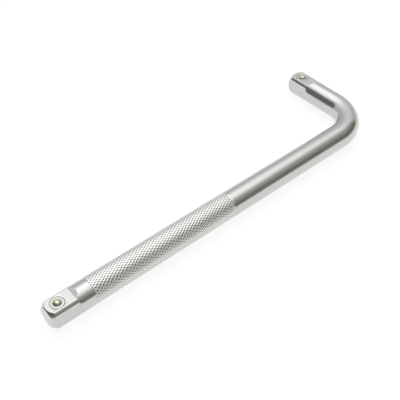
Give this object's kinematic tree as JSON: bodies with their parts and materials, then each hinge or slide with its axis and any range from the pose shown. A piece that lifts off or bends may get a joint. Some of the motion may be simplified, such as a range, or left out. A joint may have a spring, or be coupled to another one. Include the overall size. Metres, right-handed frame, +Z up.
{
  "type": "l-handle socket wrench",
  "caption": "L-shaped round steel bar that turns square-drive sockets: knurled grip on the long leg, and at both tips a drive square with a sprung detent ball.",
  "frame": {"origin": "on the plane that the bar lies on, below the middle of its outline", "axes": "+X along the long leg from its drive square to the bend, +Y along the short leg towards its drive square, +Z up through the detent balls"},
  "size_m": [0.256, 0.071, 0.016],
  "materials": {
    "satin_chrome": "satin chrome plate on forged chrome-vanadium steel",
    "polished_steel": "polished bearing ball",
    "spring_steel": "drawn spring wire"
  },
  "bodies": {
    "handle": {"handle_bar": "satin_chrome", "long_end_spring": "spring_steel", "short_end_spring": "spring_steel"},
    "long_ball": {"long_end_ball": "polished_steel"},
    "short_ball": {"short_end_ball": "polished_steel"}
  },
  "joints": [
    {"name": "long_ball_press", "type": "slide", "parent": "handle", "child": "long_ball", "axis": [0, 0, -1], "range_m": [0, 0.00145], "stiffness_N_per_m": 2500, "deforming": ["long_end_spring"]},
    {"name": "short_ball_press", "type": "slide", "parent": "handle", "child": "short_ball", "axis": [0, 0, -1], "range_m": [0, 0.00145], "stiffness_N_per_m": 2500, "deforming": ["short_end_spring"]}
  ]
}
